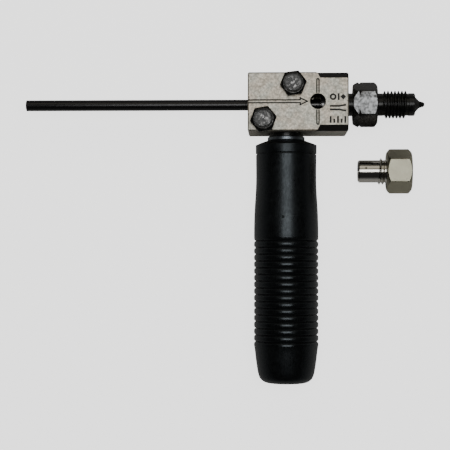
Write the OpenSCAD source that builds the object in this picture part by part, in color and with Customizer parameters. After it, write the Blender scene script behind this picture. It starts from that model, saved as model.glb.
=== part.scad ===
// Hand-held brake-pipe flaring tool, lying on its back beside its loose stop screw.
// Millimetres. X runs along the brake pipe towards the forming screw, +Y points away from the
// handle, +Z up. The origin is on the bench, under the centre of the clamping block.

/* [Clamping block] */
// Length along the pipe
block_len = 43; // [38:0.5:52]
// Width across the pipe
block_wid = 25; // [22:0.5:34]
// Depth of both jaws together, the pipe lies half way
block_depth = 28; // [24:0.5:34]
// Size of the black chamfers beside the size marks
mark_chamfer = 2.5; // [1:0.1:3]
// Where the black chamfers start, from the block centre
mark_chamfer_x = 8; // [4:0.5:12]
// Diameter of the sight hole in the front jaw
sight_dia = 6.8; // [4:0.1:8]
// Sight hole position from the block centre
sight_x = 8.4; // [6:0.1:10]
// Depth of the engraved lines
mark_depth = 0.3; // [0.1:0.05:0.5]
// Width of the engraved lines
mark_line = 0.6; // [0.2:0.05:0.7]
// Break on the outer edges
edge_break = 0.5; // [0.2:0.1:1]
// Break on the edges of the parting line
seam_break = 0.25; // [0.1:0.05:0.5]

/* [Brake pipe] */
// Outside diameter
pipe_dia = 4.75; // [4:0.05:6.35]
// Inside diameter
pipe_bore = 3.35; // [2.6:0.05:4.8]
// Length of the pipe
pipe_len = 128.8; // [60:0.2:200]
// Flared end, from the block centre
pipe_end_x = 9.9; // [8:0.1:10]

/* [Clamp bolts] */
// Thread diameter
bolt_dia = 6; // [5:1:8]
// Thread pitch
bolt_pitch = 1; // [0.8:0.05:1.25]
// Length under the head
bolt_len = 25; // [20:1:26]
// Head across flats
bolt_af = 10; // [8:0.5:13]
// Head height
bolt_head = 4; // [3:0.1:5.5]

/* [Forming screw] */
// Thread diameter
screw_dia = 12; // [10:1:14]
// Thread pitch
screw_pitch = 1.5; // [1:0.25:1.75]
// Thread turns on the exposed end
screw_turns = 7; // [5:1:8]
// Hex across flats
hex_af = 17; // [14:1:19]
// Left end of the hex, from the block centre
hex_x = 23.95; // [22:0.05:28]
// Length of the hex
hex_len = 10.5; // [8:0.5:14]
// Plain diameter beside the thread
neck_dia = 9.8; // [9:0.1:10]

/* [Stop screw] */
// Left end of the pilot
stop_x = 26.4; // [20:0.1:40]
// Axis position across the bench
stop_y = -28.7; // [-40:0.1:-24]
// Pilot length with its thread turns
stop_pilot = 12.5; // [10:0.05:16]
// Length of the hex
stop_hex_len = 10.9; // [8:0.1:14]

/* [Handle] */
// Handle position from the block centre
handle_x = -5; // [-8:0.5:4]
// Handle stud diameter
stud_dia = 8; // [6:1:10]
// Thickness of the lock washer
lock_thick = 1.5; // [1:0.1:2.2]
// Thickness of the bright washer
plain_thick = 1.6; // [1:0.1:2]
// Length of the rubber grip
grip_len = 105.5; // [90:0.5:125]
// Largest diameter of the rubber grip
grip_dia = 28; // [24:0.5:28]
// Number of grooves round the grip
grip_grooves = 16; // [8:1:20]
// Distance between grooves
groove_pitch = 2.904; // [2:0.001:4]

/* [Hidden] */
$fn = 96;
split_z = block_depth / 2;
half_len = block_len / 2;
half_wid = block_wid / 2;
fit_gap = 0.05;
half_gap = 0.1;

// pipe clamp bore, flare seat, punch chamber and screw bore, along X
clamp_r = pipe_dia / 2 + 0.025;
serration = 0.25;
serration_n = 25;
serration_x = -20;
seat_x = 6.5;
chamber_r = 5.3;
thread_x = 12.4;
screw_bore_r = screw_dia / 2 + fit_gap;
thread_groove = 0.5;

// clamp bolts and dowels, positions [x, y]
bolt_r = bolt_dia / 2;
bolt_root = bolt_r - 0.6 * bolt_pitch;
upper_bolt = [-2.1, 7.4];
lower_bolt = [-14.8, -7.7];
upper_turn = 7.4;
lower_turn = 10.5;
bolt_gap = 0.3;
bolt_thread_turns = 15;
dowel_r = 1.5;
dowel_at = [[-17, 8.5], [16.5, -9.6]];
dowel_z = 6;
dowel_len = 16;

// boss of the rear jaw that carries the handle stud
boss_w = 11;
boss_y = -4.5;
boss_top = 20;
stud_r = stud_dia / 2;
stud_in = 7.3;

// engraved marks on the front face
arrow_half = 0.61;
arrow_neck_x = 0.9;
arrow_head_half = 1.46;
arrow_tip_x = 3.9;
slot_half = 0.47;
slot_top = 9.6;
slot_bottom = 9.8;
mark_x = 13.4;
mark_w = 7;
mark_h = 2.9;
mark_row = [1.9, -2.8, -7.8];
run_out = 1.4;
mark_bold = 0.8;
paint_thick = 0.2;

// forming screw, along X
screw_r = screw_dia / 2;
screw_root = 4.95;
neck_r = neck_dia / 2;
hex_end_x = hex_x + hex_len;
hex_corner = hex_af / 2 / cos(30);
op1_face_x = 11.5;
op1_thread_x = 12.6;
op1_turns = 5.5;
op2_thread_x = hex_end_x + 2.7;
op2_face_x = op2_thread_x + screw_turns * screw_pitch + 3.1;
groove_x = 26.75;
groove_r = 9.2;

// swivelling punches
shank_r = 2;
shank_len = 7;
ring_back = 3.2;
ring_wire = 0.4;
ring_r = 2.1;
ring_half = ring_wire + fit_gap;
ring_root = ring_r - ring_wire - fit_gap;
punch1_x = 10.2;
punch1_r = 3.6;
pilot1_r = pipe_bore / 2 - 0.075;
pilot1_tip = 1.9;
cone_r = 3.45;
cone_len = 1.85;
nose_r = 1.6;
nose_tip_r = 1.15;
nose_len = 2.45;

// stop screw
stop_r = 4.9;
stop_z = hex_af / 2;
stop_thread_r = 5.8;
stop_thread_x = 8.5;
stop_spot_turn = 15;

// handle stack, distances from the pipe axis along -Y
lock_s = half_wid;
plain_s = lock_s + lock_thick;
grip_s = plain_s + plain_thick;
grip_end_s = grip_s + grip_len;
core_r = 7.5;
core_end_s = grip_s + 90.4;
nut_washer = 1.6;
nut_h = 6.5;
nut_af = 13;
pocket_r = 8.3;
pocket_end_s = core_end_s + nut_washer + nut_h + 2;
grip_r = grip_dia / 2;
groove_s = grip_s + 43.7;
groove_half = 0.3;
groove_depth = 0.6;
vent_s = 49.2;
vent_x = -6.4;

// ---------- shared shapes ----------

// Turned solid about the X axis of the pipe, from points [radius, x].
module turned_x(points) {
  translate([0, 0, split_z]) rotate([0, 90, 0]) rotate_extrude() polygon(points);
}

// Turned solid about the handle axis, from points [radius, distance along -Y].
module turned_handle(points) {
  translate([handle_x, 0, split_z]) rotate([90, 0, 0]) rotate_extrude() polygon(points);
}

// Crest and root points of a ring thread that starts and ends on its root.
function thread_points(start, turns, pitch, crest, root, flat) =
  [for (i = [0 : turns - 1], k = [0 : 2])
    k == 0 ? [root, start + i * pitch] :
    k == 1 ? [crest, start + (i + 0.5) * pitch - flat / 2] :
             [crest, start + (i + 0.5) * pitch + flat / 2]];

// Grooves cut outwards from a bore, as points [radius, x].
function groove_points(start, count, pitch, wall, depth, width) =
  [for (i = [0 : count - 1], k = [0 : 2])
    k == 0 ? [wall, start + i * pitch] :
    k == 1 ? [wall + depth, start + i * pitch + width / 2] :
             [wall, start + i * pitch + width]];

// Rectangle in 2D with its four corners cut, from [x0, y0] to [x1, y1].
module cut_rect(x0, x1, y0, y1, low_cut, high_cut) {
  polygon([[x0 + low_cut, y0], [x1 - low_cut, y0], [x1, y0 + low_cut], [x1, y1 - high_cut],
           [x1 - high_cut, y1], [x0 + high_cut, y1], [x0, y1 - high_cut], [x0, y0 + low_cut]]);
}

// Half of the block between two heights, its edges broken by low_cut and high_cut.
module half_block(z0, z1, low_cut, high_cut) {
  intersection() {
    translate([0, 0, z0]) linear_extrude(z1 - z0)
      cut_rect(-half_len, half_len, -half_wid, half_wid, edge_break, edge_break);
    translate([0, half_wid, 0]) rotate([90, 0, 0]) linear_extrude(block_wid)
      cut_rect(-half_len, half_len, z0, z1, low_cut, high_cut);
    translate([-half_len, 0, 0]) rotate([90, 0, 90]) linear_extrude(block_len)
      cut_rect(-half_wid, half_wid, z0, z1, low_cut, high_cut);
  }
}

// Everything the two jaws leave open along the pipe axis.
module jaw_bore() {
  turned_x(concat(
    [[0, -half_len - 1], [clamp_r + 1, -half_len - 1], [clamp_r + 1, -half_len],
     [clamp_r, -half_len + 1]],
    groove_points(serration_x, serration_n, 1, clamp_r, serration, 0.6),
    [[clamp_r, seat_x], [chamber_r, seat_x + chamber_r - clamp_r], [chamber_r, thread_x - 0.4],
     [screw_bore_r, thread_x]],
    groove_points(thread_x + 0.6, 5, screw_pitch, screw_bore_r, thread_groove, 1),
    [[screw_bore_r, half_len - 0.6], [screw_bore_r + 0.6, half_len],
     [screw_bore_r + 0.6, half_len + 1], [0, half_len + 1]]));
}

// Cutter for one black chamfer, its left end running out across the front face.
module mark_chamfer_cut() {
  run = mark_chamfer * sqrt(2);
  slant = 2 * run_out / run;
  translate([0, half_wid - mark_chamfer, block_depth]) rotate([-45, 0, 0]) linear_extrude(4)
    polygon([[mark_chamfer_x + run_out + slant, -1],
             [mark_chamfer_x - run_out - slant, run + 1],
             [half_len + 1, run + 1], [half_len + 1, -1]]);
}

// Straight engraved line in 2D between two points.
module line2d(a, b, w) {
  d = [b[0] - a[0], b[1] - a[1]];
  translate(a) rotate(atan2(d[1], d[0])) translate([-w / 2, -w / 2])
    square([norm(d) + w, w]);
}

// Round-ended strip from the rim of the sight hole, side s of it, out to y = end.
module strip2d(s, start, end, r) {
  translate([sight_x - r, s > 0 ? start : -end]) square([2 * r, end - start]);
  translate([sight_x, s * end]) circle(r);
}

// All engraved lines in 2D.
module marks2d() {
  rim = sight_dia / 2 + 0.12;
  for (s = [-1, 1]) {
    line2d([-half_len + 0.6, s * arrow_half], [arrow_neck_x, s * arrow_half], mark_line);
    line2d([arrow_neck_x, s * arrow_half], [arrow_neck_x, s * arrow_head_half], mark_line);
    line2d([arrow_neck_x, s * arrow_head_half], [arrow_tip_x, 0], mark_line);
    end = (s > 0 ? slot_top : slot_bottom) - slot_half;
    difference() {
      strip2d(s, rim, end, slot_half + mark_line / 2);
      strip2d(s, rim - 1, end, slot_half - mark_line / 2);
    }
  }
  size_marks2d();
}

// Generic marks beside the sight hole: a pipe section with a bar and a diamond, a flared
// end, and a row of long and short ticks.
module size_marks2d() {
  translate([mark_x + mark_h / 2, mark_row[0]]) difference() {
    circle(d = mark_h);
    circle(d = mark_h - 2 * mark_bold);
  }
  translate([mark_x + 3.4, mark_row[0] - mark_h / 2]) square([mark_bold, mark_h]);
  translate([mark_x + mark_w - 1.25, mark_row[0]]) circle(1.25, $fn = 4);
  for (s = [-1, 1]) {
    line2d([mark_x + 0.4, mark_row[1] + s * 0.75], [mark_x + 4, mark_row[1] + s * 0.75],
           mark_bold);
    line2d([mark_x + 4, mark_row[1] + s * 0.75], [mark_x + mark_w - 0.4, mark_row[1] + s * 1.2],
           mark_bold);
  }
  for (i = [0 : 4])
    translate([mark_x + i * (mark_w - mark_bold) / 4, mark_row[2] - mark_h / 2])
      square([mark_bold, i % 2 == 0 ? mark_h : mark_h * 0.6]);
}

// Length along the axis that a chamfer cone needs to clear the hex corners by 0.5 mm.
function past_corner(c, r, corner) = c * (corner + 0.5 - r) / (corner - r);

// Hex prism on the Z axis with turned ends: chamfers c0 and c1 long leave radii r0 and r1.
module hex_prism(af, len, r0, c0, r1, c1) {
  corner = af / 2 / cos(30);
  intersection() {
    cylinder(r = corner, h = len, $fn = 6);
    rotate_extrude()
      polygon([[0, 0], [r0, 0], [corner + 0.5, past_corner(c0, r0, corner)],
               [corner + 0.5, len - past_corner(c1, r1, corner)], [r1, len], [0, len]]);
  }
}

// The same along X from x0, with two corners level with the axis.
module hex_bar(x0, len, r0, c0, r1, c1) {
  translate([x0, 0, 0]) rotate([0, 90, 0]) rotate([0, 0, 30])
    hex_prism(hex_af, len, r0, c0, r1, c1);
}

// ---------- clamping block ----------

module rear_jaw() {
  color("Silver") difference() {
    union() {
      half_block(0, split_z, edge_break, seam_break);
      translate([handle_x - boss_w / 2, -half_wid, split_z - 4])
        cube([boss_w, half_wid + boss_y, boss_top - split_z + 4]);
    }
    jaw_bore();
    for (p = [upper_bolt, lower_bolt]) translate([p[0], p[1], -1])
      cylinder(r = bolt_r + fit_gap, h = block_depth);
    for (p = dowel_at) translate([p[0], p[1], dowel_z])
      cylinder(r = dowel_r, h = block_depth);
    translate([handle_x, -half_wid + stud_in + 0.5, split_z]) rotate([90, 0, 0])
      cylinder(r = stud_r + fit_gap, h = block_wid);
  }
}

module front_jaw() {
  color("Silver") difference() {
    half_block(split_z, block_depth, seam_break, edge_break);
    translate([handle_x - boss_w / 2 - half_gap, -half_wid - 1, split_z - 1])
      cube([boss_w + 2 * half_gap, half_wid + boss_y + 1 + half_gap,
            boss_top - split_z + 1 + half_gap]);
    jaw_bore();
    for (p = [upper_bolt, lower_bolt]) translate([p[0], p[1], split_z - 1])
      cylinder(r = bolt_r + bolt_gap, h = block_depth);
    for (p = dowel_at) translate([p[0], p[1], split_z - 1])
      cylinder(r = dowel_r + fit_gap, h = dowel_z + dowel_len - split_z + 2);
    translate([sight_x, 0, split_z]) cylinder(d = sight_dia, h = block_depth);
    mark_chamfer_cut();
    mirror([0, 1, 0]) mark_chamfer_cut();
    translate([0, 0, block_depth - mark_depth]) linear_extrude(1) marks2d();
  }
}

module mark_paint() {
  color("Black") translate([0, 0, block_depth - mark_depth]) linear_extrude(paint_thick)
    difference() {
      marks2d();
      translate([sight_x, 0]) circle(d = sight_dia);
    }
}

module dowel_pins() {
  color("DimGray") for (p = dowel_at) translate([p[0], p[1], dowel_z]) rotate_extrude()
    polygon([[0, 0], [dowel_r - 0.3, 0], [dowel_r, 0.3], [dowel_r, dowel_len - 0.5],
             [dowel_r - 0.5, dowel_len], [0, dowel_len]]);
}

// Hex-head bolt with its head on the front face, turned by angle.
module clamp_bolt(angle) {
  tip = block_depth - bolt_len;
  union() {
    translate([0, 0, block_depth]) rotate(angle)
      hex_prism(bolt_af, bolt_head, bolt_af / 2 + 0.2, 0.25, bolt_af / 2 - 0.25, 0.6);
    rotate_extrude() polygon(concat(
      [[0, tip], [bolt_root, tip]],
      thread_points(tip + 0.5, bolt_thread_turns, bolt_pitch, bolt_r, bolt_root, 0.2),
      [[bolt_root, tip + 0.5 + bolt_thread_turns * bolt_pitch],
       [bolt_r - 0.1, tip + 1 + bolt_thread_turns * bolt_pitch],
       [bolt_r - 0.1, block_depth + 0.1], [0, block_depth + 0.1]]));
  }
}

module upper_clamp_bolt() {
  color("DarkSlateGray") translate([upper_bolt[0], upper_bolt[1], 0]) clamp_bolt(upper_turn);
}

module lower_clamp_bolt() {
  color("DarkSlateGray") translate([lower_bolt[0], lower_bolt[1], 0]) clamp_bolt(lower_turn);
}

// ---------- forming screw and punches ----------

module forming_screw() {
  color("DarkSlateGray") union() {
    difference() {
      turned_x(concat(
        [[shank_r + fit_gap, op1_face_x], [neck_r - 0.4, op1_face_x],
         [neck_r, op1_face_x + 0.4], [neck_r, op1_thread_x - 0.1]],
        thread_points(op1_thread_x, floor(op1_turns), screw_pitch, screw_r, screw_root, 0.25),
        [[neck_r, op1_thread_x + floor(op1_turns) * screw_pitch], [neck_r, op2_thread_x - 0.1]],
        thread_points(op2_thread_x, screw_turns, screw_pitch, screw_r, screw_root, 0.25),
        [[neck_r, op2_thread_x + screw_turns * screw_pitch], [neck_r, op2_face_x - 0.3],
         [neck_r - 0.3, op2_face_x], [shank_r + fit_gap, op2_face_x],
         [shank_r + fit_gap, op2_face_x - shank_len - 0.3], [0, op2_face_x - shank_len - 0.3],
         [0, op1_face_x + shank_len + 0.3], [shank_r + fit_gap, op1_face_x + shank_len + 0.3]]));
      for (x = [op1_face_x + ring_back, op2_face_x - ring_back])
        turned_x([[shank_r - 0.5, x - ring_half], [ring_r + ring_wire, x - ring_half],
                  [ring_r + ring_wire, x + ring_half], [shank_r - 0.5, x + ring_half]]);
    }
    difference() {
      translate([0, 0, split_z]) hex_bar(hex_x, hex_len, 8.65, 1.95, 8.35, 1.2);
      turned_x([[0, hex_x - 1], [neck_r - 0.5, hex_x - 1], [neck_r - 0.5, hex_end_x + 1],
                [0, hex_end_x + 1]]);
      turned_x([[groove_r, groove_x], [hex_corner + 0.5, groove_x - 1.1],
                [hex_corner + 0.5, groove_x + 1.1]]);
    }
  }
}

module op1_punch() {
  color("Gray") turned_x([
    [0, punch1_x - pilot1_tip], [pilot1_r - 0.6, punch1_x - pilot1_tip],
    [pilot1_r, punch1_x - pilot1_tip + 0.6], [pilot1_r, punch1_x + 0.5],
    [punch1_r - 0.8, punch1_x], [punch1_r - 0.2, punch1_x], [punch1_r, punch1_x + 0.2],
    [punch1_r, op1_face_x], [shank_r, op1_face_x],
    [shank_r, op1_face_x + ring_back - ring_half], [ring_root, op1_face_x + ring_back - ring_half],
    [ring_root, op1_face_x + ring_back + ring_half], [shank_r, op1_face_x + ring_back + ring_half],
    [shank_r, op1_face_x + shank_len - 0.3], [shank_r - 0.3, op1_face_x + shank_len],
    [0, op1_face_x + shank_len]]);
}

module op2_punch() {
  tip = op2_face_x + cone_len + nose_len;
  color("Gray") turned_x(concat(
    [[0, op2_face_x - shank_len], [shank_r - 0.3, op2_face_x - shank_len],
     [shank_r, op2_face_x - shank_len + 0.3],
     [shank_r, op2_face_x - ring_back - ring_half], [ring_root, op2_face_x - ring_back - ring_half],
     [ring_root, op2_face_x - ring_back + ring_half], [shank_r, op2_face_x - ring_back + ring_half],
     [shank_r, op2_face_x],
     [cone_r, op2_face_x], [nose_r, op2_face_x + cone_len]],
    [for (a = [0 : 15 : 90]) [nose_tip_r * cos(a), tip - nose_tip_r + nose_tip_r * sin(a)]]));
}

// Snap ring of one punch, with its gap, at x on the pipe axis.
module snap_ring(x) {
  difference() {
    turned_x([[ring_r - ring_wire, x - ring_wire], [ring_r + ring_wire, x - ring_wire],
              [ring_r + ring_wire, x + ring_wire], [ring_r - ring_wire, x + ring_wire]]);
    translate([x - 1, -0.5, split_z]) cube([2, 1, 5]);
  }
}

module punch_snap_rings() {
  color("SlateGray") {
    snap_ring(op1_face_x + ring_back);
    snap_ring(op2_face_x - ring_back);
  }
}

module stop_screw() {
  end = stop_x + stop_pilot;
  color("LightGray") translate([0, stop_y, stop_z]) difference() {
    union() {
      rotate([0, 90, 0]) rotate_extrude() polygon(concat(
        [[0, stop_x], [stop_r - 0.6, stop_x], [stop_r, stop_x + 0.6],
         [stop_r, stop_x + stop_thread_x - 0.1]],
        thread_points(stop_x + stop_thread_x, 2, screw_pitch, stop_thread_r, stop_r - 0.1, 0.2),
        [[stop_r, stop_x + stop_thread_x + 2 * screw_pitch], [stop_r, end + 1], [0, end + 1]]));
      hex_bar(end, stop_hex_len, 8.2, 1.35, 8.2, 1.35);
    }
    translate([stop_x - 1, 0, 0]) rotate([0, 90, 0]) cylinder(r = 2.6, h = 2.2);
    rotate([stop_spot_turn, 0, 0]) translate([stop_x + 3.4, 0, stop_r - 0.25])
      cylinder(r = 0.4, h = 1);
  }
}

// ---------- brake pipe ----------

module brake_pipe() {
  start = pipe_end_x - pipe_len;
  color("Black") turned_x([
    [pipe_bore / 2, start], [pipe_dia / 2 - 0.15, start], [pipe_dia / 2, start + 0.15],
    [pipe_dia / 2, pipe_end_x - 0.3], [pipe_dia / 2 - 0.3, pipe_end_x],
    [pipe_bore / 2, pipe_end_x]]);
}

// ---------- handle ----------

module handle_stud() {
  start = half_wid - stud_in;
  far_end = core_end_s + nut_washer + nut_h + 1.5;
  root = stud_r - 0.6;
  shank = stud_r - 0.4;
  color("Gray") turned_handle(concat(
    [[0, start - 0.5], [root, start - 0.5]],
    thread_points(start, 6, 1.25, stud_r, root, 0.2),
    [[root, start + 7.5], [shank, start + 8], [shank, far_end - 14]],
    thread_points(far_end - 13, 10, 1.25, stud_r, root, 0.2),
    [[root, far_end - 0.5], [root, far_end], [0, far_end]]));
}

module lock_washer() {
  color("DimGray") difference() {
    turned_handle([[stud_r + 0.1, lock_s], [7.3, lock_s], [7.4, lock_s + 0.1],
                   [7.4, plain_s - 0.1], [7.3, plain_s], [stud_r + 0.1, plain_s]]);
    translate([handle_x - 0.75, -plain_s - 1, split_z - 9]) cube([1.5, lock_thick + 2, 6]);
  }
}

module plain_washer() {
  color("Gainsboro") turned_handle([
    [stud_r + 0.2, plain_s], [7.8, plain_s], [8.05, plain_s + 0.35], [8.05, grip_s - 0.1],
    [7.95, grip_s], [stud_r + 0.2, grip_s]]);
}

module grip_core() {
  color("SlateGray") turned_handle([
    [stud_r + 0.2, grip_s], [core_r, grip_s], [core_r, core_end_s], [stud_r + 0.2, core_end_s]]);
}

module grip_end_washer() {
  color("Gainsboro") turned_handle([
    [stud_r + 0.2, core_end_s], [8, core_end_s], [8, core_end_s + nut_washer],
    [stud_r + 0.2, core_end_s + nut_washer]]);
}

module grip_nut() {
  color("Gray") translate([handle_x, -core_end_s - nut_washer, split_z]) rotate([90, 0, 0])
    difference() {
      hex_prism(nut_af, nut_h, nut_af / 2, 0.6, nut_af / 2, 0.6);
      translate([0, 0, -1]) cylinder(r = stud_r, h = nut_h + 2);
    }
}

// Radius of the grip between the waist and the ribs, a smooth swell.
function swell(t) = grip_r - 1.1 + 1.1 * (t * t * (3 - 2 * t));

module grip_sleeve() {
  waist_s = grip_s + 18;
  swell_n = 8;
  swell_len = groove_s - 1.4 - waist_s;
  shoulder = [[core_r, grip_s], [8.1, grip_s], [9.6, grip_s + 0.75], [12, grip_s + 1.6],
              [12.9, grip_s + 1.95], [13.25, grip_s + 2.3], [13.25, grip_s + 5.7],
              [12.85, grip_s + 5.85], [12.85, grip_s + 6.2], [13.15, grip_s + 6.35],
              [13, grip_s + 12]];
  waist = [for (i = [0 : swell_n])
            [swell(i / swell_n), waist_s + i / swell_n * swell_len]];
  ribs = [for (i = [0 : grip_grooves - 1], k = [0 : 4])
    let (s = groove_s + i * groove_pitch)
    k == 0 ? [grip_r - 0.15, s - 0.75] :
    k == 1 ? [grip_r - groove_depth, s - groove_half] :
    k == 2 ? [grip_r - groove_depth, s + groove_half] :
    k == 3 ? [grip_r - 0.15, s + 0.75] : [grip_r, s + groove_pitch / 2]];
  cap = [[grip_r - 0.35, grip_end_s - 14.4], [grip_r - 0.9, grip_end_s - 10],
         [grip_r - 1.6, grip_end_s - 5.7], [grip_r - 2.1, grip_end_s - 3.5],
         [grip_r - 2.7, grip_end_s - 2.1], [grip_r - 3.6, grip_end_s - 1.2],
         [grip_r - 5, grip_end_s - 0.4], [grip_r - 8, grip_end_s], [0, grip_end_s],
         [0, pocket_end_s], [pocket_r, pocket_end_s], [pocket_r, core_end_s],
         [core_r, core_end_s]];
  color("Black") difference() {
    turned_handle(concat(shoulder, waist, ribs, cap));
    translate([vent_x, -vent_s, split_z + grip_r - 1.8]) cylinder(r = 0.45, h = 3);
  }
}

rear_jaw();
front_jaw();
mark_paint();
dowel_pins();
upper_clamp_bolt();
lower_clamp_bolt();
forming_screw();
op1_punch();
op2_punch();
punch_snap_rings();
stop_screw();
brake_pipe();
handle_stud();
lock_washer();
plain_washer();
grip_core();
grip_end_washer();
grip_nut();
grip_sleeve();
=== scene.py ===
"""Looks of the brake-pipe flaring tool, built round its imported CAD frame. Metres throughout."""
import math

import bpy
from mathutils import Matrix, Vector


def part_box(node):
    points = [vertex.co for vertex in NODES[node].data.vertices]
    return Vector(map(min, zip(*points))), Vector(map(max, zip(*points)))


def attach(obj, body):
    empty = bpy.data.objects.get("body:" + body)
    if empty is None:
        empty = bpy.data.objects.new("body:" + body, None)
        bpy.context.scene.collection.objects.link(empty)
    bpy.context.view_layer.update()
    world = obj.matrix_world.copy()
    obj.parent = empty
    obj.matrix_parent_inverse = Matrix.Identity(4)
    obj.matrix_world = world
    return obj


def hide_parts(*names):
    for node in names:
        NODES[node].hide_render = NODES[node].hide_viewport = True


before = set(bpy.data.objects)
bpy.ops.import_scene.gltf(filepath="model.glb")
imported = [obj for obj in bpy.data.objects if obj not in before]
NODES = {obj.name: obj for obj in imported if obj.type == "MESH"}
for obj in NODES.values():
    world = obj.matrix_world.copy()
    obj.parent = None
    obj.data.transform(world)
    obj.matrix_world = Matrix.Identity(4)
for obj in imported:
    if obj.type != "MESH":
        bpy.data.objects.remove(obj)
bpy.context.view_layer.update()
MM = 0.001
AXIS_Z = 14.0                       # height of the pipe axis, mm
BLOCK_TOP = 28.0                    # height of the block's marked face, mm
SIGHT_X, SIGHT_R = 8.4, 3.42        # sight hole, and a radius that takes in its wall, mm
HANDLE_X = -5.0                     # the grip's axis, mm
GRIP_START = 15.6                   # from the pipe axis to the grip, mm
HEX_AF, PITCH = 17, 1.5             # hex and thread of both screws, mm
STOP_Y, STOP_Z = -28.7, 8.5         # the loose screw's axis, mm
CAD_SHARP = 24.0                    # degrees from which a copied CAD edge stays sharp
FLOOR_HALF, FLOOR_Z = 3.0, -0.0002  # half the floor's side and its height, m
FLOOR_GLOW = 1.9                    # radiance the backlit floor shows the camera
ROOM = (0.02, 0.16)                 # radiance of the dim room overhead and at the horizon
LIGHT_AIM = Vector((-0.01, -0.03, 0.014))
LIGHT_FAR = 1.0                     # distance of the light boxes, m


# ---------------------------------------------------------------- camera
def make_camera():
    """Looks straight down from 0.6 m, tilted by a degree or two."""
    cam = bpy.data.cameras.new("camera")
    cam.lens = 107.65
    cam.sensor_width = 36
    cam.clip_start, cam.clip_end = 0.01, 10
    obj = bpy.data.objects.new("camera", cam)
    bpy.context.collection.objects.link(obj)
    obj.location = (-0.0094, -0.0667, 0.600)
    obj.rotation_euler = (math.radians(1.403), math.radians(2.171), math.radians(0.063))
    bpy.context.scene.camera = obj


# ---------------------------------------------------------------- materials
class Nodes:
    """Short names for the node calls that every material here repeats."""

    def __init__(self, name):
        self.mat = bpy.data.materials.new(name)
        self.mat.use_nodes = True
        self.tree = self.mat.node_tree
        self.bsdf = self.tree.nodes["Principled BSDF"]
        self.coord = self.tree.nodes.new("ShaderNodeTexCoord").outputs["Object"]

    def new(self, kind, **values):
        n = self.tree.nodes.new(kind)
        for k, v in values.items():
            setattr(n, k, v)
        return n

    def link(self, a, b):
        self.tree.links.new(a, b)

    def noise(self, scale, detail, rough, stretch=(1, 1, 1)):
        m = self.new("ShaderNodeMapping")
        m.inputs["Scale"].default_value = stretch
        self.link(self.coord, m.inputs["Vector"])
        n = self.new("ShaderNodeTexNoise")
        n.inputs["Scale"].default_value = scale
        n.inputs["Detail"].default_value = detail
        n.inputs["Roughness"].default_value = rough
        self.link(m.outputs["Vector"], n.inputs["Vector"])
        return n.outputs["Fac"]

    def ramp(self, fac, stops):
        r = self.new("ShaderNodeValToRGB")
        e = r.color_ramp.elements
        while len(e) < len(stops):
            e.new(0.5)
        for el, (pos, col) in zip(e, stops):
            el.position = pos
            el.color = (*col, 1) if isinstance(col, tuple) else (col, col, col, 1)
        self.link(fac, r.inputs["Fac"])
        return r.outputs["Color"]

    def mix(self, fac, a, b):
        m = self.new("ShaderNodeMix", data_type="RGBA")
        for socket, v in ((m.inputs["Factor"], fac), (m.inputs["A"], a), (m.inputs["B"], b)):
            if isinstance(v, (int, float)):
                socket.default_value = v
            elif isinstance(v, tuple):
                socket.default_value = (*v, 1)
            else:
                self.link(v, socket)
        return m.outputs["Result"]

    def math(self, op, a, b):
        m = self.new("ShaderNodeMath", operation=op)
        for socket, v in ((m.inputs[0], a), (m.inputs[1], b)):
            if isinstance(v, (int, float)):
                socket.default_value = v
            else:
                self.link(v, socket)
        return m.outputs[0]

    def bump(self, height, strength, distance):
        b = self.new("ShaderNodeBump")
        b.inputs["Strength"].default_value = strength
        b.inputs["Distance"].default_value = distance
        self.link(height, b.inputs["Height"])
        self.link(b.outputs["Normal"], self.bsdf.inputs["Normal"])

    def set(self, **values):
        for k, v in values.items():
            socket = self.bsdf.inputs[k.replace("_", " ")]
            if isinstance(v, (int, float)):
                socket.default_value = v
            elif isinstance(v, tuple):
                socket.default_value = (*v, 1)
            else:
                self.link(v, socket)


def block_steel():
    """Satin nickel-washed steel: warm and cool mottle, fine sparkle, a few darker specks."""
    n = Nodes("block_steel")
    cloud = n.noise(190, 3, 0.5)
    mottle = n.noise(1050, 3, 0.62)
    fine = n.noise(2900, 3, 0.6)
    warm = n.ramp(mottle, [(0.32, (0.29, 0.246, 0.178)), (0.50, (0.585, 0.51, 0.39)),
                           (0.68, (0.91, 0.82, 0.67))])
    cool = n.ramp(mottle, [(0.32, (0.27, 0.262, 0.202)), (0.50, (0.53, 0.51, 0.415)),
                           (0.68, (0.83, 0.805, 0.69))])
    tone = n.mix(n.ramp(cloud, [(0.40, 0.0), (0.60, 1.0)]), warm, cool)
    n.set(Base_Color=n.mix(0.25, tone, n.ramp(fine, [(0.35, 0.26), (0.65, 0.70)])),
          Metallic=0.85, Roughness=n.ramp(fine, [(0.3, 0.38), (0.7, 0.54)]))
    n.bump(n.mix(0.5, fine, mottle), 0.30, 0.00006)
    return n.mat


def black_paint():
    """Thin matt black paint in the engravings; on the two chamfers and the sight hole's wall the
    same black is painted shade, standing in for their dark reflection and the shade in the hole.
    """
    n = Nodes("black_paint")
    fine = n.noise(1800, 5, 0.6)
    n.set(Base_Color=n.ramp(fine, [(0.3, (0.010, 0.0095, 0.009)), (0.7, (0.024, 0.023, 0.021))]),
          Roughness=n.ramp(fine, [(0.3, 0.42), (0.7, 0.6)]), Specular_IOR_Level=0.35)
    n.bump(fine, 0.2, 0.00004)
    return n.mat


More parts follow.
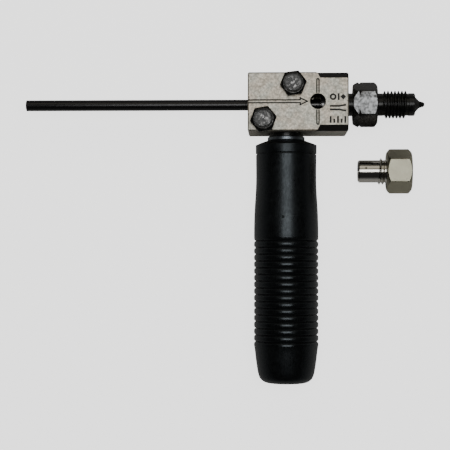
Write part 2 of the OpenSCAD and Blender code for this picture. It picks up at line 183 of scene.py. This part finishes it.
def black_oxide(name="black_oxide", worn=0.0):
    """Oiled black oxide on steel, grey where it is worn through."""
    n = Nodes(name)
    blotch = n.noise(520, 4, 0.6)
    fine = n.noise(2400, 4, 0.65)
    base = n.ramp(blotch, [(0.35, (0.007, 0.0075, 0.007)), (0.65, (0.020, 0.020, 0.0175))])
    wear = n.math("MULTIPLY", n.ramp(n.noise(750, 3, 0.65), [(0.50, 0.0), (0.58, 1.0)]), worn)
    n.set(Base_Color=n.mix(wear, base, (0.27, 0.265, 0.26)),
          Metallic=n.math("ADD", n.math("MULTIPLY", wear, 0.7), 0.2),
          Roughness=n.ramp(fine, [(0.3, 0.17), (0.7, 0.32)]), Specular_IOR_Level=0.38)
    n.bump(n.mix(0.5, blotch, fine), 0.15, 0.00003)
    return n.mat


def rubbed_edge():
    """Black oxide rubbed through to bright steel in broken patches."""
    n = Nodes("rubbed_edge")
    patch = n.noise(900, 4, 0.7)
    n.set(Base_Color=n.ramp(patch, [(0.42, (0.03, 0.031, 0.033)), (0.60, (0.55, 0.56, 0.58))]),
          Metallic=0.9, Roughness=n.ramp(patch, [(0.4, 0.42), (0.6, 0.26)]))
    n.bump(patch, 0.2, 0.00004)
    return n.mat


def worn_and_lit_flat():
    """Bare steel colour for the hex flat that faces up: wear, speckled and scratched, with the
    overhead light's reflection painted in as a brighter colour.
    """
    n = Nodes("worn_steel_and_highlight")
    area = n.noise(160, 3, 0.5)
    speck = n.noise(900, 3, 0.65)
    scratch = n.noise(1500, 3, 0.6, stretch=(1, 6, 1))
    col = n.ramp(speck, [(0.40, (0.04, 0.04, 0.038)), (0.48, (0.26, 0.265, 0.26)),
                         (0.58, (0.47, 0.485, 0.495))])
    clean = n.ramp(area, [(0.42, 0.0), (0.56, 0.5)])
    n.set(Base_Color=n.mix(0.12, n.mix(clean, col, (0.36, 0.37, 0.38)),
                           n.ramp(scratch, [(0.35, 0.10), (0.65, 0.60)])),
          Metallic=0.9, Roughness=n.ramp(speck, [(0.3, 0.50), (0.7, 0.36)]))
    n.bump(n.mix(0.5, speck, scratch), 0.3, 0.00005)
    return n.mat


def nickel():
    """Bright plating with faint turning marks."""
    n = Nodes("nickel")
    turn = n.noise(700, 3, 0.5, stretch=(6, 1, 1))
    fine = n.noise(2600, 3, 0.6)
    n.set(Base_Color=n.ramp(turn, [(0.3, (0.62, 0.60, 0.54)), (0.7, (0.74, 0.73, 0.68))]),
          Metallic=1.0, Roughness=n.ramp(fine, [(0.3, 0.07), (0.7, 0.15)]))
    n.bump(turn, 0.06, 0.00003)
    return n.mat


def satin_nickel():
    """The same plating over a milled surface: warm, soft and even."""
    n = Nodes("satin_nickel")
    cloud = n.noise(300, 3, 0.5)
    grain = n.noise(1500, 3, 0.6, stretch=(1, 5, 5))
    n.set(Base_Color=n.ramp(cloud, [(0.3, (0.44, 0.425, 0.325)), (0.7, (0.50, 0.485, 0.375))]),
          Metallic=1.0, Roughness=n.ramp(grain, [(0.3, 0.38), (0.7, 0.48)]))
    n.bump(grain, 0.10, 0.00003)
    return n.mat


def hard_steel(name="hard_steel", tone=1.0):
    """Steel with turning marks, darker with a smaller tone."""
    n = Nodes(name)
    turn = n.noise(900, 3, 0.6, stretch=(5, 1, 1))
    dark, light = (0.22 * tone,) * 3, (0.36 * tone, 0.355 * tone, 0.345 * tone)
    n.set(Base_Color=n.ramp(turn, [(0.3, dark), (0.7, light)]),
          Metallic=0.95, Roughness=n.ramp(turn, [(0.3, 0.24), (0.7, 0.40)]))
    n.bump(turn, 0.12, 0.00004)
    return n.mat


def zinc():
    """Bright zinc plating."""
    n = Nodes("zinc")
    cloud = n.noise(500, 4, 0.6)
    fine = n.noise(2200, 3, 0.6)
    n.set(Base_Color=n.ramp(cloud, [(0.3, (0.58, 0.60, 0.63)), (0.7, (0.76, 0.77, 0.79))]),
          Metallic=0.95, Roughness=n.ramp(fine, [(0.3, 0.17), (0.7, 0.30)]))
    n.bump(cloud, 0.08, 0.00004)
    return n.mat


def dark_plating_and_shade():
    """Blue-grey plating of the washer under the grip, dulled by handling, its colour kept dark as
    painted shade for its shaded place under the block.
    """
    n = Nodes("dark_plating_and_shade")
    cloud = n.noise(600, 4, 0.6)
    # painted shade: the plating colour is darkened for the shade under the block
    n.set(Base_Color=n.ramp(cloud, [(0.3, (0.18, 0.20, 0.22)), (0.7, (0.28, 0.31, 0.34))]),
          Metallic=0.95, Roughness=n.ramp(cloud, [(0.3, 0.34), (0.7, 0.46)]))
    n.bump(cloud, 0.08, 0.00004)
    return n.mat


def pipe_coat():
    """Glossy black plastic coat, with faint drawn streaks along the pipe."""
    n = Nodes("pipe_coat")
    streak = n.noise(900, 3, 0.5, stretch=(0.06, 1, 1))
    fine = n.noise(1600, 4, 0.6)
    n.set(Base_Color=n.ramp(streak, [(0.3, (0.007, 0.007, 0.0075)), (0.7, (0.016, 0.016, 0.017))]),
          Roughness=n.ramp(fine, [(0.3, 0.20), (0.7, 0.33)]), Specular_IOR_Level=0.5)
    n.bump(n.mix(0.4, streak, fine), 0.10, 0.00004)
    return n.mat


def core_plastic():
    """Hard dark plastic with a moulded grain."""
    n = Nodes("core_plastic")
    fine = n.noise(1700, 4, 0.6)
    n.set(Base_Color=n.ramp(fine, [(0.3, (0.045, 0.045, 0.047)), (0.7, (0.07, 0.07, 0.072))]),
          Roughness=n.ramp(fine, [(0.3, 0.5), (0.7, 0.65)]))
    n.bump(fine, 0.2, 0.00005)
    return n.mat


def grip_rubber(name="grip_rubber", dull=0.0):
    """Black rubber: fine grain drawn along the grip, a cool soft gloss, duller patches."""
    n = Nodes(name)
    grain = n.noise(1300, 4, 0.6, stretch=(1, 0.45, 1))
    fine = n.noise(3600, 3, 0.6)
    cloud = n.noise(140, 3, 0.5)
    base = n.ramp(cloud, [(0.3, (0.0045, 0.005, 0.0055)), (0.7, (0.008, 0.009, 0.010))])
    n.set(Base_Color=n.mix(0.25, base, n.ramp(grain, [(0.35, 0.003), (0.65, 0.013)])),
          Roughness=n.mix(0.35, n.ramp(grain, [(0.38, 0.25 + dull), (0.62, 0.41 + dull)]),
                          n.ramp(cloud, [(0.35, 0.24 + dull), (0.65, 0.40 + dull)])),
          Specular_IOR_Level=0.5, Specular_Tint=(0.82, 0.93, 1.0))
    n.bump(n.mix(0.35, grain, fine), 0.18, 0.00006)
    return n.mat


# ---------------------------------------------------------------- mesh tools
def new_mesh(name, verts, faces, mats, slots, sharp):
    """A mesh object from millimetre vertices, smooth except at edges over sharp degrees."""
    me = bpy.data.meshes.new(name)
    me.from_pydata([Vector(v) * MM for v in verts], [], faces)
    for m in mats:
        me.materials.append(m)
    me.polygons.foreach_set("material_index", slots)
    me.validate()
    me.polygons.foreach_set("use_smooth", [True] * len(me.polygons))
    me.set_sharp_from_angle(angle=math.radians(sharp))
    me.update()
    obj = bpy.data.objects.new(name, me)
    bpy.context.collection.objects.link(obj)
    return obj


class Builder:
    """Collects several surfaces, in millimetres and about the X axis, into one mesh."""

    def __init__(self):
        self.verts, self.faces, self.slots = [], [], []

    def grid(self, rows, wrap, slot=0, flip=False):
        """Quads between rows of points; wrap joins each row's end to its start."""
        first, n = len(self.verts), len(rows[0])
        for i in range(len(rows) - 1):
            here, there = first + i * n, first + (i + 1) * n
            for j in range(n if wrap else n - 1):
                k = (j + 1) % n
                q = (here + j, here + k, there + k, there + j)
                self.faces.append(q[::-1] if flip else q)
                self.slots.append(slot)
        self.verts += [p for row in rows for p in row]

    def lathe(self, profile, segments=96, slot=0):
        """Turns (x, radius) points about X; a radius of 0 closes an end."""
        rows = [[(x, r * math.cos(2 * math.pi * j / segments),
                  r * math.sin(2 * math.pi * j / segments)) for j in range(segments)]
                for x, r in profile]
        self.grid(rows, True, slot)

    def thread(self, x0, turns, pitch, crest, root, flat=0.10, steps=72, slot=0, taper=0.35,
               phase=0.0):
        """A right-hand ridge wound about X from phase turns on, tapering out at both ends."""
        half = pitch * 0.46
        section = [(-half, root - 0.25), (-half + 0.02, root), (-flat, crest - 0.04),
                   (-flat * 0.4, crest), (flat * 0.4, crest), (flat, crest - 0.04),
                   (half - 0.02, root), (half, root - 0.25)]
        total = int(turns * steps)
        rows = []
        for i in range(total + 1):
            t = i / steps
            grow = min(1.0, t / taper, (turns - t) / taper)
            grow = max(0.0, grow) ** 0.7
            a = -2 * math.pi * (t + phase)
            row = []
            for dx, r in section:
                rr = root - 0.25 + (r - root + 0.25) * (0.15 + 0.85 * grow)
                row.append((x0 + t * pitch + dx * (0.4 + 0.6 * grow),
                            rr * math.cos(a), rr * math.sin(a)))
            rows.append(row)
        self.grid(rows, False, slot, flip=True)

    def object(self, name, mats, place, sharp=32.0):
        """The mesh object, its points moved by place(x, y, z)."""
        return new_mesh(name, [place(*v) for v in self.verts], self.faces, mats, self.slots,
                        sharp)


def fillet(points, radius, steps=4):
    """Rounds the corners of an open profile, except its ends and the nearly straight ones."""
    out = [points[0]]
    for i in range(1, len(points) - 1):
        p, a, b = Vector(points[i]), Vector(points[i - 1]), Vector(points[i + 1])
        da, db = a - p, b - p
        if da.length < 1e-6 or db.length < 1e-6:
            out.append(points[i])
            continue
        ua, ub = da.normalized(), db.normalized()
        angle = math.acos(max(-1, min(1, ua.dot(ub))))
        if angle > math.radians(176):
            out.append(points[i])
            continue
        cut = min(radius / math.tan(angle / 2), da.length * 0.45, db.length * 0.45)
        r = cut * math.tan(angle / 2)
        centre = p + (ua + ub).normalized() * (r / math.sin(angle / 2))
        s, e = p + ua * cut - centre, p + ub * cut - centre
        sweep = math.atan2(s.x * e.y - s.y * e.x, s.dot(e))
        for k in range(steps + 1):
            c, q = math.cos(sweep * k / steps), math.sin(sweep * k / steps)
            out.append((centre.x + s.x * c - s.y * q, centre.y + s.x * q + s.y * c))
    out.append(points[-1])
    return out


def hex_section(af, rounding, per_flat=9, per_corner=4):
    """Polar points (radius, angle) of a hexagon with rounded corners, a corner at angle 0."""
    a = af / 2
    centre = (a - rounding) / math.cos(math.pi / 6)
    pts = []
    for k in range(6):
        c = k * math.pi / 3
        cx, cy = centre * math.cos(c), centre * math.sin(c)
        for j in range(per_corner + 1):
            t = c - math.pi / 6 + math.pi / 3 * j / per_corner
            pts.append((cx + rounding * math.cos(t), cy + rounding * math.sin(t)))
        c2 = c + math.pi / 3
        sx, sy = pts[-1]
        ex = centre * math.cos(c2) + rounding * math.cos(c2 - math.pi / 6)
        ey = centre * math.sin(c2) + rounding * math.sin(c2 - math.pi / 6)
        for j in range(1, per_flat):
            f = j / per_flat
            pts.append((sx + (ex - sx) * f, sy + (ey - sy) * f))
    return [(math.hypot(x, y), math.atan2(y, x)) for x, y in pts]


def hex_rows(x0, length, af, r0, c0, r1, c1, rounding=0.25, edge=0.12, groove=None, hub=0.0):
    """Rows of a hex bar about X: turned end chamfers, softened edges and an optional V groove.

    c0 and c1 are the chamfer lengths at the corners, r0 and r1 the end-face radii; groove is
    (x, bottom radius). hub is the radius left open at both end faces.
    """
    section = hex_section(af, rounding)
    corner = af / 2 / math.cos(math.pi / 6)
    x1 = x0 + length
    slope0, slope1 = (corner - r0) / c0, (corner - r1) / c1
    columns = []
    for radius, ang in section:
        col = [(x0, hub)]
        ra = min(r0, radius)
        col.append((x0, max(hub, ra - edge * 1.5)))
        col.append((x0 + edge * 0.35, ra - edge * 0.25))
        xc = x0 + max(0.0, (radius - r0) / slope0)
        back = max(x0 + edge * 0.6, xc - edge)
        col.append((back, min(radius, r0 + slope0 * (back - x0))))
        col += [(xc + edge * 1.2, radius), (xc + edge * 2.4, radius)]
        if groove:
            gx, gr = groove
            d = max(0.0, radius - gr)
            e = min(edge * 0.5, d)
            col += [(gx - d - e, radius), (gx - d + e, radius - e if d else radius),
                    (gx, radius - d), (gx + d - e, radius - e if d else radius),
                    (gx + d + e, radius)]
        xd = x1 - max(0.0, (radius - r1) / slope1)
        fwd = min(x1 - edge * 0.6, xd + edge)
        rb = min(r1, radius)
        col += [(xd - edge * 2.4, radius), (xd - edge * 1.2, radius)]
        col.append((fwd, min(radius, r1 + slope1 * (x1 - fwd))))
        col.append((x1 - edge * 0.35, rb - edge * 0.25))
        col.append((x1, max(hub, rb - edge * 1.5)))
        col.append((x1, hub))
        columns.append([(x, r * math.cos(ang), r * math.sin(ang)) for x, r in col])
    return [[col[i] for col in columns] for i in range(len(columns[0]))]


def on_axis(x, y, z):
    """Lays a piece built about X on the pipe axis."""
    return (x, y, z + AXIS_Z)


def on_handle(x, y, z):
    """Lays a piece built about X on the grip's axis, its X pointing away from the block."""
    return (HANDLE_X + y, -x, AXIS_Z + z)


def dimension(node):
    """Lowest and highest corner of a CAD node in millimetres."""
    lo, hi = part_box(node)
    return [v / MM for v in lo], [v / MM for v in hi]


# ---------------------------------------------------------------- pieces
def copy_node(name, mats, pick):
    """A copy of a CAD node's mesh with its faces sorted into materials by pick(centre, normal)."""
    me = NODES[name].data.copy()
    me.materials.clear()
    for m in mats:
        me.materials.append(m)
    for p in me.polygons:
        p.material_index = pick(p.center / MM, p.normal)
        p.use_smooth = True
    me.set_sharp_from_angle(angle=math.radians(CAD_SHARP))
    obj = bpy.data.objects.new(name + "_finish", me)
    bpy.context.collection.objects.link(obj)
    return obj


def make_jaws(steel, paint_shade_mat):
    """The two jaws, with painted shade: the chamfers beside the marks coloured black for their
    dark reflection, and the sight hole's wall black for the shade inside it.
    """
    def painted_shade_faces(c, n):
        slanted = 0.6 < n.z < 0.8 and abs(n.y) > 0.6
        # painted dark reflection: the two chamfers are coloured black for the dark room they
        # reflect
        chamfer = slanted and c.x > 7.5 and abs(c.y) > 10 and c.z > 25
        # painted shade: the sight hole's wall is coloured black for the shade inside the hole
        sight = math.hypot(c.x - SIGHT_X, c.y) < SIGHT_R and AXIS_Z < c.z < BLOCK_TOP - 0.1
        return 1 if chamfer or sight else 0

    for name, body in (("rear_jaw", "clamp_base"), ("front_jaw", "front_clamp")):
        obj = copy_node(name, [steel, paint_shade_mat], painted_shade_faces)
        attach(obj, body)
        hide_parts(name)


def make_bolt(node, body, centre, turn, mats, marks):
    """Hex-head bolt: its face worn towards the centre, with generic raised marks.

    mats are the oxide, three degrees of wear and the bright marks; marks are (x, y, length,
    width, angle) on the face in millimetres.
    """
    b = Builder()
    h, dish, around = 4.0, 0.11, 14
    b.grid(hex_rows(0, h, 10, 5.15, 0.3, 4.45, 0.75, 0.3, 0.12, hub=4.28), True)
    face = [(h, 4.28), (h + 0.02, 4.22), (h + 0.02, 4.05), (h - 0.05, 3.8), (h - 0.09, 3.1),
            (h - dish, 1.9), (h - 0.10, 0.0)]
    for slot, first, last in ((2, 0, 2), (1, 2, 4), (2, 4, 5), (3, 5, 6)):
        b.lathe(face[first:last + 1], 72, slot)
    t = math.radians(turn)
    for mx, my, length, width, angle in marks:
        lx, ly = mx * math.cos(t) + my * math.sin(t), my * math.cos(t) - mx * math.sin(t)
        q = math.radians(angle) - t
        rows = []
        for shrink, dz in ((1.15, 0.0), (0.95, 0.09), (0.65, 0.13), (0.0, 0.14)):
            row = []
            for j in range(around):
                a = 2 * math.pi * j / around
                c, d = math.cos(a), math.sin(a)
                u = (math.copysign((length - width) / 2, c) + width / 2 * c) * shrink
                v = width / 2 * d * shrink
                row.append((h - dish + dz, lx + u * math.cos(q) - v * math.sin(q),
                            ly + u * math.sin(q) + v * math.cos(q)))
            rows.append(row)
        b.grid(rows, True, 4)
    b.lathe([(0.0, 4.28), (0.0, 2.9), (-8.2, 2.9), (-8.7, 2.55), (-24.4, 2.5), (-25, 2.0),
             (-25, 0)], 48)
    b.thread(-24.2, 15, 1.0, 3.0, 2.5, 0.07, 40)

    def place(x, y, z):
        return (centre[0] + y * math.cos(t) - z * math.sin(t),
                centre[1] + y * math.sin(t) + z * math.cos(t), BLOCK_TOP + x)
    obj = b.object(node + "_finish", mats, place)
    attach(obj, body)
    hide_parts(node)


def make_forming_screw(oxide, bright):
    """Double-ended screw: necks, wound threads, dogs, and a hex whose up-facing flat is coloured
    bright, partly wear and partly a painted highlight of the overhead light.
    """
    b = Builder()
    rows = hex_rows(23.95, 10.5, HEX_AF, 8.67, 1.95, 8.35, 1.2, 0.22, 0.13, (26.75, 9.2), 4.5)
    b.grid(rows, True)
    left = fillet([(19.0, 2.05), (11.5, 2.05), (11.5, 4.5), (11.9, 4.9), (12.7, 4.9), (20.8, 4.9),
                   (21.2, 4.95), (24.5, 4.95)], 0.15)
    right = fillet([(34.0, 4.9), (36.6, 4.9), (37.1, 4.82), (47.8, 4.82), (48.1, 4.95),
                    (50.35, 4.95), (50.75, 4.55), (50.75, 2.05), (43.4, 2.05)], 0.15)
    b.lathe(left)
    b.lathe(right)
    b.thread(12.9, 5.2, PITCH, 6.0, 4.85, 0.2)
    b.thread(37.22, 6.7, PITCH, 6.0, 4.80, 0.2, phase=0.65)
    obj = b.object("forming_screw_finish", [oxide, bright], on_axis)
    for p in obj.data.polygons:              # the hex flat that faces up, coloured bright: wear and a painted highlight
        if p.normal.z > 0.97 and p.center.z / MM > AXIS_Z + 8.3:
            p.material_index = 1
    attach(obj, "screw")
    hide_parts("forming_screw")


def make_second_punch(oxide):
    """Second-stage punch: a cone with a round nose, turned in one piece with its shank."""
    lo, hi = dimension("op2_punch")
    tip, round_r = hi[0], 1.15
    nose = [(tip - round_r + round_r * math.sin(a), round_r * math.cos(a))
            for a in (k * math.pi / 24 for k in range(13))]
    profile = [(lo[0], 0), (lo[0], 1.7), (lo[0] + 0.3, 2.0), (50.75, 2.0), (50.75, 3.3),
               (50.9, 3.45), (52.35, 1.85)]
    profile = fillet(profile + [(52.75, 1.55), (tip - 1.35, 1.2)], 0.15) + nose
    b = Builder()
    b.lathe(profile, 72)
    obj = b.object("op2_punch_finish", [oxide], on_axis)
    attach(obj, "second_punch")
    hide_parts("op2_punch")


def make_stop_screw(plating, satin):
    """Bright stop screw: pilot with a punched spot, two turns of thread, hex with turned ends."""
    b = Builder()
    b.grid(hex_rows(38.9, 10.9, HEX_AF, 8.3, 1.3, 8.3, 1.35, 0.3, 0.14), True, 1)
    b.lathe(fillet([(28.4, 0), (27.4, 2.6), (26.4, 2.6), (26.4, 4.3), (27.0, 4.9)], 0.18))
    pilot_r, around = 4.9, 540
    spot_x, spot_turn, spot_r, spot_depth = 29.8, math.radians(105), 0.42, 0.22
    xs = ([27.0 + 0.2 * k for k in range(10)] + [29.2 + 0.05 * k for k in range(25)]
          + [30.6, 32.0, 34.0, 36.0, 38.5, 38.95])
    rows = []
    for x in xs:
        row = []
        for j in range(around):
            a = 2 * math.pi * j / around
            away = math.hypot(x - spot_x, pilot_r * (a - spot_turn)) / spot_r
            dip = spot_depth * (1 - away * away) if away < 1 else 0.0
            r = pilot_r - dip + (0.3 if x > 38.8 else 0.0)
            row.append((x, -r * math.cos(a), r * math.sin(a)))
        rows.append(row)
    b.grid(rows, True, 0, flip=True)
    b.thread(35.0, 2.05, PITCH, 5.8, 4.85, 0.10, 96, 0, 0.5)

    def place(x, y, z):
        return (x, y + STOP_Y, z + STOP_Z)
    obj = b.object("stop_screw_finish", [plating, satin], place)
    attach(obj, "loose_stop")
    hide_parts("stop_screw")


def make_pipe(coat, steel, bare):
    """Coated pipe, its last few millimetres stripped to the steel for the flare."""
    b = Builder()
    x0, x1, strip = -118.9, 9.9, 4.4         # both ends, and the end of the coat
    bore, bare_r, coat_r = 1.675, 2.30, 2.375
    b.lathe(fillet([(x0, bore), (x0, 2.25), (x0 + 0.15, coat_r), (strip - 0.1, coat_r),
                    (strip, bare_r)], 0.08, 3), 64)
    b.lathe(fillet([(strip, bare_r), (x1 - 0.3, bare_r), (x1, 2.1), (x1, bore)], 0.08, 3), 64, 2)
    b.lathe([(x1, bore), (x0, bore)], 48, 1)
    obj = b.object("brake_pipe_finish", [coat, steel, bare], on_axis)
    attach(obj, "pipe")
    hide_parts("brake_pipe")


def grip_profile():
    """Outer line of the grip as (distance below the pipe axis, radius), millimetres."""
    s0 = GRIP_START
    head = [(s0, 7.5), (s0, 8.1), (s0 + 0.5, 9.2), (s0 + 1.25, 11.3), (s0 + 2.1, 13.28),
            (s0 + 5.75, 13.24), (s0 + 5.85, 12.85), (s0 + 6.2, 12.85), (s0 + 6.32, 13.15)]
    line = fillet(head + [(s0 + 8, 13.12)], 0.22, 4)[:-1]
    for k in range(25):                      # shallow waist, then the swell up to the ribs
        t = k / 24
        s = s0 + 7 + t * 35
        dip = 13.13 - 0.25 * math.sin(math.pi * min(1, t / 0.75)) ** 2
        rise = 0.87 * (t * t * (3 - 2 * t))
        line.append((s, dip + rise))
    ribs, first, pitch = 16, s0 + 43.7, 2.904
    for i in range(ribs + 1):
        s = first + i * pitch
        if i < ribs:
            for d, w in ((-0.75, 0.05), (-0.45, 0.18), (-0.28, 0.48), (0.0, 0.62),
                         (0.28, 0.48), (0.45, 0.18), (0.75, 0.05)):
                line.append((s + d, 14.0 - w))
            line.append((s + pitch / 2, 14.0))
    end = [(106.7, 13.62), (111.1, 13.1), (115.4, 12.45), (117.6, 11.9), (118.9, 11.3),
           (119.8, 10.4), (120.5, 9.2), (120.9, 7.4), (121.1, 4.0), (121.1, 0.0)]
    line += smooth_line([line[-1]] + end, 5)[1:]
    return line


def smooth_line(points, steps):
    """Catmull-Rom through points."""
    out = []
    p = [points[0]] + list(points) + [points[-1]]
    for i in range(1, len(p) - 2):
        for k in range(steps):
            t = k / steps
            out.append(tuple(
                0.5 * (2 * b + (c - a) * t + (2 * a - 5 * b + 4 * c - d) * t * t
                       + (3 * b - a - 3 * c + d) * t ** 3)
                for a, b, c, d in zip(p[i - 1], p[i], p[i + 1], p[i + 2])))
    out.append(points[-1])
    return out


def line_radius(line, s):
    """Radius of a profile at s."""
    for (s0, r0), (s1, r1) in zip(line, line[1:]):
        if s0 <= s <= s1 and s1 > s0:
            return r0 + (r1 - r0) * (s - s0) / (s1 - s0)
    return line[-1][1]


def make_grip(rubber, polished):
    """Rubber sleeve with rounded ribs polished by the hand, a vent dimple and a closed end."""
    b = Builder()
    vent_s, vent_turn, vent_r, vent_depth = 49.2, math.radians(-6.1), 0.55, 0.45
    around, cap = 160, 8                     # facets, and rows of the closed end that stay last
    line = grip_profile()
    near = [vent_s + 0.07 * k for k in range(-9, 10)]
    line = sorted(line[:-cap] + [(s, line_radius(line, s)) for s in near],
                  key=lambda p: p[0]) + line[-cap:]
    turns = sorted([2 * math.pi * j / around - math.pi for j in range(around)]
                   + [vent_turn + 0.0061 * (k + 0.5) for k in range(-9, 9)])
    rows = []
    for s, r in line:
        row = []
        for a in turns:
            away = math.hypot(s - vent_s, 13.2 * (a - vent_turn)) / vent_r
            dip = vent_depth * (1 - away ** 4) if away < 1 else 0.0
            row.append((s, (r - dip) * math.sin(a), (r - dip) * math.cos(a)))
        rows.append(row)
    b.grid(rows, True, 0, flip=True)
    b.lathe([(114.5, 0.0), (114.5, 8.3), (106.0, 8.3), (106.0, 7.5), (GRIP_START, 7.5)], 64)
    obj = b.object("grip_sleeve_finish", [rubber, polished], on_handle, 50)
    for p in obj.data.polygons:              # the crests of the ribs
        c = p.center / MM
        if -c.y > 58 and math.hypot(c.x - HANDLE_X, c.z - AXIS_Z) > 13.93:
            p.material_index = 1
    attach(obj, "clamp_base")
    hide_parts("grip_sleeve")


def make_plain_washer(plating):
    """Washer with a rounded rim between the lock washer and the grip."""
    b = Builder()
    b.lathe(fillet([(GRIP_START, 4.2), (14.0, 4.2), (14.0, 7.7), (14.35, 8.05), (15.5, 8.05),
                    (GRIP_START, 7.9), (GRIP_START, 4.2)], 0.2), 96)
    obj = b.object("plain_washer_finish", [plating], on_handle)
    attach(obj, "clamp_base")
    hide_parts("plain_washer")


def dress(name, mat):
    """Gives a CAD node that stays its material."""
    node = NODES[name]
    if not node.material_slots:
        node.data.materials.append(mat)
    for slot in node.material_slots:
        slot.material = mat


# ---------------------------------------------------------------- floor and light
def camera_only(tree, plain, seen):
    """Shader that shows seen to the camera and plain to every other ray."""
    path = tree.nodes.new("ShaderNodeLightPath")
    mix = tree.nodes.new("ShaderNodeMixShader")
    tree.links.new(path.outputs["Is Camera Ray"], mix.inputs[0])
    tree.links.new(plain, mix.inputs[1])
    tree.links.new(seen, mix.inputs[2])
    return mix.outputs[0]


def make_floor():
    """White paper, lit from behind so that only a faint contact shadow is left."""
    n = Nodes("floor_paper")
    fibre = n.noise(300, 3, 0.5)
    n.set(Base_Color=n.ramp(fibre, [(0.3, 0.80), (0.7, 0.82)]), Roughness=0.9,
          Specular_IOR_Level=0.1)
    glow = n.new("ShaderNodeEmission")
    glow.inputs["Strength"].default_value = FLOOR_GLOW
    both = n.new("ShaderNodeAddShader")
    n.link(n.bsdf.outputs[0], both.inputs[0])
    n.link(glow.outputs[0], both.inputs[1])
    out = n.tree.nodes["Material Output"]
    n.link(camera_only(n.tree, n.bsdf.outputs[0], both.outputs[0]), out.inputs["Surface"])
    h = FLOOR_HALF
    me = bpy.data.meshes.new("floor")
    me.from_pydata([(x, y, FLOOR_Z) for x, y in ((-h, -h), (h, -h), (h, h), (-h, h))],
                   [], [(0, 1, 2, 3)])
    me.materials.append(n.mat)
    obj = bpy.data.objects.new("floor", me)
    bpy.context.collection.objects.link(obj)


def area_light(name, tilt, size, radiance, color=(1, 1, 1), aside=0.0):
    """A soft box seen tilt degrees from overhead towards +Y, moved aside along X."""
    light = bpy.data.lights.new(name, "AREA")
    light.shape = "RECTANGLE"
    light.size, light.size_y = size
    light.energy = radiance * math.pi * size[0] * size[1]
    light.color = color
    obj = bpy.data.objects.new(name, light)
    bpy.context.collection.objects.link(obj)
    t = math.radians(tilt)
    way = Vector((0, math.sin(t), math.cos(t)))
    obj.location = LIGHT_AIM + Vector((aside, 0, 0)) + way * LIGHT_FAR
    obj.rotation_euler = way.to_track_quat("Z", "Y").to_euler()
    obj.visible_camera = False


def make_lights():
    """A dim room that is white to the camera, and two soft boxes."""
    world = bpy.data.worlds.new("studio")
    bpy.context.scene.world = world
    world.use_nodes = True
    tree = world.node_tree
    dim = tree.nodes["Background"]
    way = tree.nodes.new("ShaderNodeTexCoord").outputs["Generated"]
    split = tree.nodes.new("ShaderNodeSeparateXYZ")
    tree.links.new(way, split.inputs[0])
    fade = tree.nodes.new("ShaderNodeMapRange")
    fade.interpolation_type = "SMOOTHSTEP"
    for key, v in (("From Min", 0.42), ("From Max", 0.02),
                   ("To Min", ROOM[0]), ("To Max", ROOM[1])):
        fade.inputs[key].default_value = v
    tree.links.new(split.outputs["Z"], fade.inputs["Value"])
    tree.links.new(fade.outputs[0], dim.inputs["Strength"])
    dim.inputs["Color"].default_value = (1, 1, 1, 1)
    pale = tree.nodes.new("ShaderNodeBackground")
    pale.inputs["Color"].default_value = (1, 1, 1, 1)
    pale.inputs["Strength"].default_value = FLOOR_GLOW + 0.3
    tree.links.new(camera_only(tree, dim.outputs[0], pale.outputs[0]),
                   tree.nodes["World Output"].inputs["Surface"])
    area_light("overhead", 3.5, (0.57, 0.40), 3.6, aside=0.045)
    area_light("back_box", 41, (1.1, 0.56), 0.62, (1.0, 0.93, 0.80))


# ---------------------------------------------------------------- build
make_camera()
STEEL, PAINT_AND_SHADE, OXIDE = block_steel(), black_paint(), black_oxide(worn=0.06)
HEAD = [OXIDE, black_oxide("oxide_rim", 0.08), black_oxide("oxide_rubbed", 0.40),
        black_oxide("oxide_worn", 0.80), rubbed_edge()]
BRIGHT, NICKEL, HARD, ZINC = worn_and_lit_flat(), nickel(), hard_steel(), zinc()
COAT, CORE, RUBBER = pipe_coat(), core_plastic(), grip_rubber()
make_jaws(STEEL, PAINT_AND_SHADE)
make_bolt("upper_clamp_bolt", "upper_bolt", (-2.1, 7.4), 7.4, HEAD,
          [(-0.9, -2.8, 1.0, 0.28, 35), (0.15, -2.95, 1.0, 0.28, 35), (-2.5, 0.9, 0.4, 0.4, 0),
           (2.6, -1.2, 0.8, 0.28, 60)])
make_bolt("lower_clamp_bolt", "lower_bolt", (-14.8, -7.7), 10.5, HEAD,
          [(-0.05, 1.9, 1.15, 0.5, 60), (-2.0, 2.6, 0.55, 0.4, 30), (1.3, 3.2, 0.5, 0.35, 0),
           (-1.7, -2.7, 0.85, 0.4, 75), (0.8, -3.0, 0.6, 0.4, 20), (2.5, -1.7, 0.8, 0.3, -40)])
make_forming_screw(OXIDE, BRIGHT)
make_second_punch(OXIDE)
make_stop_screw(NICKEL, satin_nickel())
make_pipe(COAT, HARD, hard_steel("bare_pipe", 0.3))
make_grip(RUBBER, grip_rubber("grip_polished", -0.08))
make_plain_washer(dark_plating_and_shade())
for NODE, MAT in (("mark_paint", PAINT_AND_SHADE), ("dowel_pins", HARD), ("op1_punch", HARD),
                  ("punch_snap_rings", HARD), ("handle_stud", ZINC), ("lock_washer", OXIDE),
                  ("grip_core", CORE), ("grip_end_washer", ZINC), ("grip_nut", ZINC)):
    dress(NODE, MAT)
make_floor()
make_lights()
